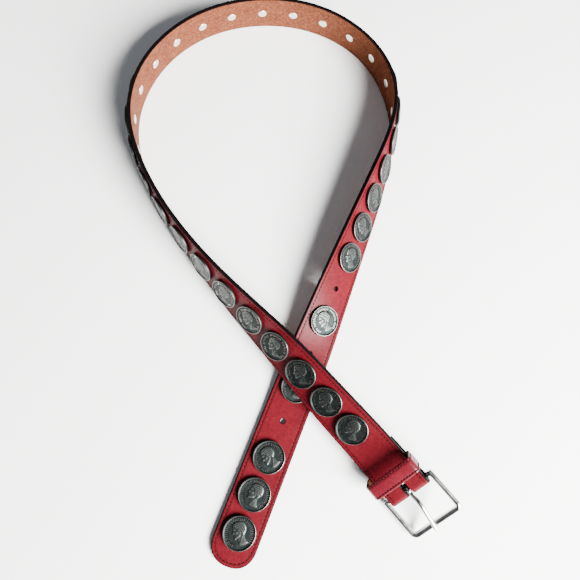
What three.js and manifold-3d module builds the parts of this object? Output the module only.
// A studded leather belt lying on a flat surface, in millimetres, +Z up.
// The strap stands on its lower edge round the loop, twists flat at both ends,
// and its buckle end lies across its tip end. The tip end rests flat on z = 0.

import * as THREE from "three";
import { mergeVertices } from "three/addons/utils/BufferGeometryUtils.js";
import Module from "manifold-3d";

// Driving dimensions of the leather
const STRAP_WIDTH = 35;
const STRAP_THICK = 3.3;
const STUD_PITCH = 28.8;
const TIP_BEYOND_LAST_STUD = 25;
const SEAM_GAP = 0.3;

// Coin studs, counted from the buckle: place 0 is nearest the buckle
const LAST_PLACE = 36;
const HOLE_PLACES = [29, 31, 33];
const COIN_RADIUS = 12.5;
const COIN_FIELD_RADIUS = 11.2;
const COIN_FIELD_THICK = 1.4;
const COIN_RIM_SLOPE = 0.3;
const COIN_THICK = 1.9;
const COIN_STANDOFF = 0.9;
const POST_RADIUS = 1.7;
const CAP_RADIUS = 4.5;
const CAP_THICK = 0.8;
const STUD_SIDES = 14;
const BORE_SIDES = 8;
const SEAT_SIDES = 10;
const BORE_CLEARANCE = 0.4;
const ROWS_PER_PLACE = 3;
const PUNCHED_RADIUS = 2.1;
const CUT_SPARE = 2;
const TIP_ROUNDNESS = 2.3;
const TIP_ROWS = 9;

// Buckle: a rectangular frame round a bar, and a wire prong
const BAR_RADIUS = 2.0;
const FRAME_INNER_WIDTH = 39.8;
const FRAME_SIDE = 3.8;
const FRAME_HEIGHT = 4.8;
const FRAME_BACK = 2.3;
const FRAME_INNER_LENGTH = 28.4;
const FRAME_CORNER = 5.5;
const FRAME_INNER_CORNER = 3;
const FRAME_EDGE_ROUND = 0.7;
const FRAME_OPEN_REACH = 10;
const BAR_SIDES = 16;
const PRONG_RADIUS = 1.6;
const PRONG_EYE_WALL = 2.6;
const PRONG_SIDES = 10;
const SLOT_WIDTH = 5.4;
const SLOT_END = 14;
const SLOT_HEIGHT = 30;

// The prong's wire: distance back from the bar, distance from the middle towards the strap's
// upper edge, rise above its rest on the far bar, radius
const PRONG_LINE = [
  { back: 3, side: 0, rise: -0.1, radius: 1.6 },
  { back: 5, side: 0, rise: 0.9, radius: 1.6 },
  { back: 8.5, side: 0.9, rise: 2.3, radius: 1.9 },
  { back: 13, side: 0.7, rise: 2.6, radius: 1.9 },
  { back: 18, side: 0, rise: 2.5, radius: 1.9 },
  { back: 25, side: -1.3, rise: 2.1, radius: 1.75 },
  { back: 30, side: -2.3, rise: 1.8, radius: 1.6 },
  { back: 33, side: -2.9, rise: 1.65, radius: 1.5 },
  { back: 35.3, side: -3.3, rise: 1.55, radius: 1.4 },
];

// Fold round the bar, and the turned-back end under it
const FOLD_PLACE = -2.38;
const FOLD_ROWS = 10;
const BUCKLE_END_ROWS = 3;
const TURNED_THICK = 2.2;
const TURNED_LENGTH = 44;
const TURNED_BEND_FROM = 18.5;
const TURNED_BEND_TO = 13.5;
const TURNED_BEND_DROP = 0.5;

// Keeper: a fixed leather loop caught between the strap and its turned-back end
const KEEPER_LENGTH = 12.5;
const KEEPER_FROM_FOLD = 16.5;
const KEEPER_WALL = 2.0;
const KEEPER_INNER_HEIGHT = 6.8;
const KEEPER_SIDE_CLEARANCE = 1.6;
const KEEPER_OUTER_CORNER = 3.2;
const KEEPER_INNER_CORNER = 1.4;

// The lay of the belt. Place counts stud steps from the stud nearest the buckle.
// Heading is the way towards the tip, in degrees from +X. Tilt is 0 with the suede
// side down and 90 with the strap on edge. Lift is the height of its lower edge.
const ROUTE = [
  { place: -3, heading: 90, tilt: 26, lift: 6.8 },
  { place: -1, heading: 90, tilt: 26, lift: 6.8 },
  { place: 0, heading: 92, tilt: 29, lift: 7.2 },
  { place: 2, heading: 91, tilt: 41, lift: 8.2 },
  { place: 4, heading: 92.5, tilt: 58, lift: 3.4 },
  { place: 6, heading: 88.5, tilt: 75, lift: 1 },
  { place: 8, heading: 80.5, tilt: 84, lift: 0 },
  { place: 10, heading: 66, tilt: 87, lift: 0 },
  { place: 12, heading: 33.5, tilt: 88, lift: 0 },
  { place: 14, heading: 4.5, tilt: 85, lift: 0 },
  { place: 16, heading: -22.5, tilt: 83, lift: 0 },
  { place: 18, heading: -47.5, tilt: 83, lift: 0 },
  { place: 20, heading: -78, tilt: 83, lift: 0 },
  { place: 22, heading: -114, tilt: 86, lift: 0 },
  { place: 24, heading: -146, tilt: 71, lift: 0 },
  { place: 26, heading: -153, tilt: 53, lift: 0 },
  { place: 28, heading: -153.5, tilt: 39, lift: 0 },
  { place: 30, heading: -153, tilt: 23, lift: 0 },
  { place: 32, heading: -153.5, tilt: 3, lift: 0 },
  { place: 33, heading: -153.5, tilt: 0, lift: 0 },
  { place: 37, heading: -153.5, tilt: 0, lift: 0 },
];

const wasm = await Module();
wasm.setup();
const UP = new THREE.Vector3(0, 0, 1);
const rad = THREE.MathUtils.degToRad;

// Materials
const leather = new THREE.MeshStandardMaterial({ color: 0xb01f30, roughness: 0.45, metalness: 0 });
const keeperLeather = new THREE.MeshStandardMaterial({ color: 0xb5263a, roughness: 0.38, metalness: 0 });
const steel = new THREE.MeshStandardMaterial({ color: 0xc8c8c6, roughness: 0.25, metalness: 1 });
const pewter = new THREE.MeshStandardMaterial({ color: 0x6d7070, roughness: 0.4, metalness: 1 });

// A column of the route at any place, eased through its rows
function column(place, name) {
  const last = ROUTE.length - 1;
  let row = 0;
  while (row < last - 1 && ROUTE[row + 1].place <= place) row += 1;
  const slope = (at) => {
    const before = ROUTE[Math.max(at - 1, 0)];
    const here = ROUTE[at];
    const after = ROUTE[Math.min(at + 1, last)];
    const turns = (after[name] - here[name]) * (here[name] - before[name]) <= 0;
    return turns ? 0 : (after[name] - before[name]) / (after.place - before.place);
  };
  const from = ROUTE[row];
  const to = ROUTE[row + 1];
  const step = to.place - from.place;
  const u = Math.min(Math.max((place - from.place) / step, 0), 1);
  const bend = u * u * (3 - 2 * u);
  const leave = (u * u * u - 2 * u * u + u) * step * slope(row);
  const arrive = (u * u * u - u * u) * step * slope(row + 1);
  return from[name] * (1 - bend) + to[name] * bend + leave + arrive;
}

// Height of the strap's middle above the surface
function middleHeight(place) {
  const tilt = rad(column(place, "tilt"));
  const half = (STRAP_WIDTH * Math.sin(tilt) + STRAP_THICK * Math.cos(tilt)) / 2;
  return column(place, "lift") + half;
}

// The strap's middle line, walked in short steps so that its length is true
const STEPS_PER_PLACE = 16;
const FIRST_PLACE = -3;
const WALK_END = 38;
const walk = [];
{
  const step = 1 / STEPS_PER_PLACE;
  const at = new THREE.Vector3(0, 0, middleHeight(FIRST_PLACE));
  for (let count = 0; count <= (WALK_END - FIRST_PLACE) * STEPS_PER_PLACE; count += 1) {
    const place = FIRST_PLACE + count * step;
    walk.push(at.clone());
    const heading = rad(column(place + step / 2, "heading"));
    const rise = middleHeight(place + step) - middleHeight(place);
    const run = Math.sqrt((STUD_PITCH * step) ** 2 - rise ** 2);
    at.x += Math.cos(heading) * run;
    at.y += Math.sin(heading) * run;
    at.z += rise;
  }
}

function middlePoint(place) {
  const count = (place - FIRST_PLACE) * STEPS_PER_PLACE;
  const low = Math.min(Math.floor(count), walk.length - 2);
  return walk[low].clone().lerp(walk[low + 1], count - low);
}

// Axes of the strap at a place: along to the tip, across to its upper edge, out of its face
function strapFrame(place) {
  const near = 0.05;
  const along = middlePoint(place + near).sub(middlePoint(place - near)).normalize();
  const heading = rad(column(place, "heading"));
  const tilt = rad(column(place, "tilt"));
  const level = new THREE.Vector3(Math.sin(heading), -Math.cos(heading), 0);
  const across = level.multiplyScalar(Math.cos(tilt)).addScaledVector(UP, Math.sin(tilt));
  across.addScaledVector(along, -across.dot(along)).normalize();
  const out = new THREE.Vector3().crossVectors(across, along).normalize();
  const matrix = new THREE.Matrix4().makeBasis(along, across.clone().negate(), out);
  matrix.setPosition(middlePoint(place));
  return { along, across, out, matrix };
}

// The buckle end is straight, so its axes at the fold serve for all of it
const BUCKLE = strapFrame(FOLD_PLACE);

// Volume inside a closed mesh, negative where its faces point inwards
function signedVolume(positions, index) {
  const [a, b, c] = [new THREE.Vector3(), new THREE.Vector3(), new THREE.Vector3()];
  let volume = 0;
  for (let at = 0; at < index.length; at += 3) {
    a.fromArray(positions, 3 * index[at]);
    b.fromArray(positions, 3 * index[at + 1]);
    c.fromArray(positions, 3 * index[at + 2]);
    volume += a.dot(b.cross(c)) / 6;
  }
  return volume;
}

function toSolid(geometry) {
  const bare = new THREE.BufferGeometry();
  bare.setAttribute("position", geometry.getAttribute("position").clone());
  if (geometry.index) bare.setIndex(geometry.index.clone());
  const merged = mergeVertices(bare, 1e-4);
  const vertProperties = new Float32Array(merged.getAttribute("position").array);
  const triVerts = new Uint32Array(merged.index.array);
  if (signedVolume(vertProperties, triVerts) < 0) triVerts.reverse();
  return new wasm.Manifold(new wasm.Mesh({ numProp: 3, vertProperties, triVerts }));
}

function toGeometry(solid) {
  const mesh = solid.getMesh();
  const geometry = new THREE.BufferGeometry();
  geometry.setAttribute("position", new THREE.BufferAttribute(mesh.vertProperties.slice(), 3));
  geometry.setIndex(new THREE.BufferAttribute(mesh.triVerts.slice(), 1));
  geometry.computeVertexNormals();
  return geometry;
}

// A closed skin over rings of points, each ring the same number of points
function skin(rings) {
  const positions = [];
  const index = [];
  const count = rings[0].length;
  for (const ring of rings) {
    for (const point of ring) positions.push(point.x, point.y, point.z);
  }
  for (let row = 0; row < rings.length - 1; row += 1) {
    for (let side = 0; side < count; side += 1) {
      const next = (side + 1) % count;
      const a = row * count + side;
      const b = row * count + next;
      const c = a + count;
      const d = b + count;
      index.push(a, b, d, a, d, c);
    }
  }
  for (const [row, turned] of [[0, true], [rings.length - 1, false]]) {
    for (let side = 1; side < count - 1; side += 1) {
      const fan = [row * count, row * count + side, row * count + side + 1];
      if (turned) fan.reverse();
      index.push(...fan);
    }
  }
  const geometry = new THREE.BufferGeometry();
  geometry.setAttribute("position", new THREE.Float32BufferAttribute(positions, 3));
  geometry.setIndex(index);
  return geometry;
}

// A ring round the strap's section, from its middle, half width and half thickness
function sectionRing(middle, across, out, halfWidth, halfThick) {
  const corner = (side, face) => middle.clone()
    .addScaledVector(across, side * halfWidth)
    .addScaledVector(out, face * halfThick);
  return [corner(-1, 1), corner(-1, -1), corner(0, -1), corner(1, -1), corner(1, 1), corner(0, 1)];
}

// Half width of the strap towards its rounded tip
function halfWidthAt(place) {
  const beyond = (place - LAST_PLACE) * STUD_PITCH;
  const half = STRAP_WIDTH / 2;
  const roundFrom = TIP_BEYOND_LAST_STUD - half;
  if (beyond <= roundFrom) return half;
  const nearEnd = 0.999;
  const into = Math.min((beyond - roundFrom) / half, nearEnd);
  return half * (1 - into ** TIP_ROUNDNESS) ** (1 / TIP_ROUNDNESS);
}

// Distance of the bar's middle below the strap's middle line
const BAR_DROP = BAR_RADIUS + SEAM_GAP + STRAP_THICK / 2;
const BAR_BEHIND_FOLD = BAR_RADIUS + SEAM_GAP + STRAP_THICK;

// Place from distances along and out of the buckle end's own plane, from the fold's end
function bucklePoint(along, out) {
  return middlePoint(FOLD_PLACE)
    .addScaledVector(BUCKLE.along, along)
    .addScaledVector(BUCKLE.out, out);
}

const TURNED_OUT = -(STRAP_THICK + TURNED_THICK) / 2 - KEEPER_WALL - 2 * SEAM_GAP;

// Rings of the turned-back end and of the half round over the bar
function foldRings() {
  const rings = [];
  const half = STRAP_WIDTH / 2;
  const turned = [
    { along: TURNED_LENGTH, drop: TURNED_OUT },
    { along: TURNED_BEND_FROM, drop: TURNED_OUT },
    { along: TURNED_BEND_TO, drop: TURNED_OUT - TURNED_BEND_DROP },
  ];
  for (const { along, drop } of turned) {
    rings.push(sectionRing(bucklePoint(along, drop), BUCKLE.across.clone(),
      BUCKLE.out.clone().negate(), half, TURNED_THICK / 2));
  }
  for (let row = 0; row <= FOLD_ROWS; row += 1) {
    const angle = (Math.PI * row) / FOLD_ROWS;
    const face = BUCKLE.along.clone().multiplyScalar(-Math.sin(angle))
      .addScaledVector(BUCKLE.out, -Math.cos(angle));
    const thick = THREE.MathUtils.lerp(TURNED_THICK, STRAP_THICK, row / FOLD_ROWS);
    const reach = BAR_DROP + (thick - STRAP_THICK) / 2;
    const middle = bucklePoint(BAR_BEHIND_FOLD, -BAR_DROP).addScaledVector(face, reach);
    rings.push(sectionRing(middle, BUCKLE.across.clone(), face, half, thick / 2));
  }
  return rings;
}

function strapRings() {
  const rings = foldRings();
  const places = [];
  const straightFrom = FOLD_PLACE + (BAR_BEHIND_FOLD + STRAP_THICK) / STUD_PITCH;
  const straightTo = -1;
  for (let row = 0; row < BUCKLE_END_ROWS; row += 1) {
    places.push(THREE.MathUtils.lerp(straightFrom, straightTo, row / BUCKLE_END_ROWS));
  }
  const roundStart = LAST_PLACE + (TIP_BEYOND_LAST_STUD - STRAP_WIDTH / 2) / STUD_PITCH;
  for (let place = straightTo; place < roundStart; place += 1 / ROWS_PER_PLACE) {
    places.push(place);
  }
  const roundLength = STRAP_WIDTH / 2 / STUD_PITCH;
  for (let row = 0; row <= TIP_ROWS; row += 1) {
    const into = Math.sin((Math.PI / 2) * (row / TIP_ROWS));
    places.push(roundStart + roundLength * into);
  }
  for (const place of places) {
    const { across, out } = strapFrame(place);
    rings.push(sectionRing(middlePoint(place), across, out, halfWidthAt(place), STRAP_THICK / 2));
  }
  return rings;
}

// A plug along the strap's out direction, used to cut it
function plug(place, radius, sides, fromOut, toOut) {
  const geometry = new THREE.CylinderGeometry(radius, radius, toOut - fromOut, sides);
  geometry.rotateX(Math.PI / 2);
  geometry.translate(0, 0, (fromOut + toOut) / 2);
  geometry.applyMatrix4(strapFrame(place).matrix);
  return toSolid(geometry);
}

const STUD_PLACES = [];
for (let place = 0; place <= LAST_PLACE; place += 1) {
  if (!HOLE_PLACES.includes(place)) STUD_PLACES.push(place);
}

function makeStrap() {
  let strap = toSolid(skin(strapRings()));
  const back = -STRAP_THICK / 2;
  const through = STRAP_THICK / 2 + CUT_SPARE;
  for (const place of STUD_PLACES) {
    const bore = plug(place, POST_RADIUS + BORE_CLEARANCE, BORE_SIDES, -through, through);
    const seatTop = back + CAP_THICK + SEAM_GAP;
    const seat = plug(place, CAP_RADIUS + BORE_CLEARANCE, SEAT_SIDES, -through, seatTop);
    strap = strap.subtract(bore).subtract(seat);
  }
  for (const place of HOLE_PLACES) {
    strap = strap.subtract(plug(place, PUNCHED_RADIUS, SEAT_SIDES, -through, through));
  }
  const slot = new THREE.BoxGeometry(SLOT_END + CUT_SPARE, SLOT_WIDTH, SLOT_HEIGHT);
  slot.translate((SLOT_END - CUT_SPARE) / 2, 0, -BAR_DROP);
  slot.applyMatrix4(BUCKLE.matrix);
  return toGeometry(strap.subtract(toSolid(slot)));
}

// A coin with its post and the cap that is riveted on behind
function makeStud(place) {
  const face = STRAP_THICK / 2 + COIN_STANDOFF;
  const back = -STRAP_THICK / 2;
  const profile = [
    [0, back],
    [CAP_RADIUS, back],
    [CAP_RADIUS, back + CAP_THICK],
    [POST_RADIUS, back + CAP_THICK],
    [POST_RADIUS, face],
    [COIN_RADIUS, face],
    [COIN_RADIUS, face + COIN_THICK],
    [COIN_FIELD_RADIUS + COIN_RIM_SLOPE, face + COIN_THICK],
    [COIN_FIELD_RADIUS, face + COIN_FIELD_THICK],
    [0, face + COIN_FIELD_THICK],
  ];
  const points = profile.map(([radius, height]) => new THREE.Vector2(radius, height));
  const geometry = new THREE.LatheGeometry(points, STUD_SIDES);
  geometry.rotateX(Math.PI / 2);
  geometry.applyMatrix4(strapFrame(place).matrix);
  return toGeometry(toSolid(geometry));
}

// A rounded rectangle in plan, as a shape or a hole
function roundedOutline(kind, left, right, low, high, corner) {
  const outline = new kind();
  outline.moveTo(left + corner, low);
  outline.lineTo(right - corner, low);
  outline.absarc(right - corner, low + corner, corner, -Math.PI / 2, 0, false);
  outline.lineTo(right, high - corner);
  outline.absarc(right - corner, high - corner, corner, 0, Math.PI / 2, false);
  outline.lineTo(left + corner, high);
  outline.absarc(left + corner, high - corner, corner, Math.PI / 2, Math.PI, false);
  outline.lineTo(left, low + corner);
  outline.absarc(left + corner, low + corner, corner, Math.PI, Math.PI * 1.5, false);
  return outline;
}

// The buckle's own axes: origin at the middle of the bar, x to the strap, z out
function buckleMatrix() {
  const matrix = BUCKLE.matrix.clone();
  return matrix.setPosition(bucklePoint(BAR_BEHIND_FOLD, -BAR_DROP));
}

function makeFrame() {
  const inner = FRAME_INNER_WIDTH / 2;
  const outer = inner + FRAME_SIDE;
  const farInner = -FRAME_INNER_LENGTH - BAR_RADIUS;
  const outline = roundedOutline(THREE.Shape, farInner - FRAME_SIDE, FRAME_BACK, -outer, outer,
    FRAME_CORNER);
  const gap = roundedOutline(THREE.Path, farInner, FRAME_BACK + FRAME_OPEN_REACH, -inner, inner,
    FRAME_INNER_CORNER);
  const round = FRAME_EDGE_ROUND;
  const flat = new THREE.ExtrudeGeometry(outline, {
    depth: FRAME_HEIGHT - 2 * round, curveSegments: 5, bevelEnabled: true,
    bevelThickness: round, bevelSize: round, bevelOffset: -round, bevelSegments: 1,
  });
  flat.translate(0, 0, -FRAME_HEIGHT / 2 + round);
  const inside = new THREE.ExtrudeGeometry(new THREE.Shape(gap.getPoints(4)), {
    depth: FRAME_HEIGHT + 2 * CUT_SPARE, bevelEnabled: false,
  });
  inside.translate(0, 0, -FRAME_HEIGHT / 2 - CUT_SPARE);
  const barLength = FRAME_INNER_WIDTH + FRAME_SIDE;
  const bar = new THREE.CylinderGeometry(BAR_RADIUS, BAR_RADIUS, barLength, BAR_SIDES);
  const solid = toSolid(flat).subtract(toSolid(inside)).add(toSolid(bar));
  const geometry = toGeometry(solid);
  geometry.applyMatrix4(buckleMatrix());
  return geometry;
}

// The prong: an eye round the bar and a wire that bends down onto the far bar
function makeProng() {
  const rest = FRAME_HEIGHT / 2 + SEAM_GAP;
  const eyeInner = BAR_RADIUS + SEAM_GAP;
  const eyeOuter = eyeInner + PRONG_EYE_WALL;
  const ring = new THREE.Shape();
  ring.absarc(0, 0, eyeOuter, 0, Math.PI * 2, false);
  const bore = new THREE.Path();
  bore.absarc(0, 0, eyeInner, 0, Math.PI * 2, true);
  ring.holes.push(bore);
  const eye = new THREE.ExtrudeGeometry(ring, {
    depth: 2 * PRONG_RADIUS, curveSegments: 9, bevelEnabled: false,
  });
  eye.translate(0, 0, -PRONG_RADIUS);
  eye.rotateX(Math.PI / 2);
  const rings = PRONG_LINE.map(({ back, side, rise, radius }) => {
    const ringPoints = [];
    for (let corner = 0; corner < PRONG_SIDES; corner += 1) {
      const angle = (2 * Math.PI * corner) / PRONG_SIDES;
      const across = Math.sin(angle) * radius - side;
      ringPoints.push(new THREE.Vector3(-back, across, rest + rise + Math.cos(angle) * radius));
    }
    return ringPoints;
  });
  const wire = toSolid(skin(rings));
  const geometry = toGeometry(toSolid(eye).add(wire));
  geometry.applyMatrix4(buckleMatrix());
  return geometry;
}

// The keeper's loop seen along the strap, with round upper corners
function makeKeeper() {
  const innerHalf = STRAP_WIDTH / 2 + KEEPER_SIDE_CLEARANCE;
  const outerHalf = innerHalf + KEEPER_WALL;
  const bottom = -STRAP_THICK / 2 - SEAM_GAP - KEEPER_WALL;
  const top = STRAP_THICK / 2 + KEEPER_INNER_HEIGHT + KEEPER_WALL;
  const outline = roundedOutline(THREE.Shape, -outerHalf, outerHalf, bottom, top,
    KEEPER_OUTER_CORNER);
  const hole = roundedOutline(THREE.Path, -innerHalf, innerHalf, bottom + KEEPER_WALL,
    top - KEEPER_WALL, KEEPER_INNER_CORNER);
  outline.holes.push(hole);
  const geometry = new THREE.ExtrudeGeometry(outline, {
    depth: KEEPER_LENGTH, curveSegments: 4, bevelEnabled: false,
  });
  geometry.rotateX(Math.PI / 2);
  geometry.rotateZ(Math.PI / 2);
  geometry.translate(KEEPER_FROM_FOLD, 0, 0);
  geometry.applyMatrix4(BUCKLE.matrix);
  return toGeometry(toSolid(geometry));
}

function addMesh(group, name, geometry, material) {
  const mesh = new THREE.Mesh(geometry, material);
  mesh.name = name;
  group.add(mesh);
}

const belt = new THREE.Group();
addMesh(belt, "strap", makeStrap(), leather);
addMesh(belt, "keeper", makeKeeper(), keeperLeather);
addMesh(belt, "buckle_frame", makeFrame(), steel);
addMesh(belt, "prong", makeProng(), steel);
STUD_PLACES.forEach((place, number) => {
  const label = String(number + 1).padStart(2, "0");
  addMesh(belt, `coin_${label}`, makeStud(place), pewter);
});

// The origin is the middle of the belt's box in plan, on the surface
const box = new THREE.Box3().setFromObject(belt);
const middle = box.getCenter(new THREE.Vector3());
belt.position.set(-middle.x, -middle.y, 0);
belt.updateMatrixWorld(true);

export default belt;
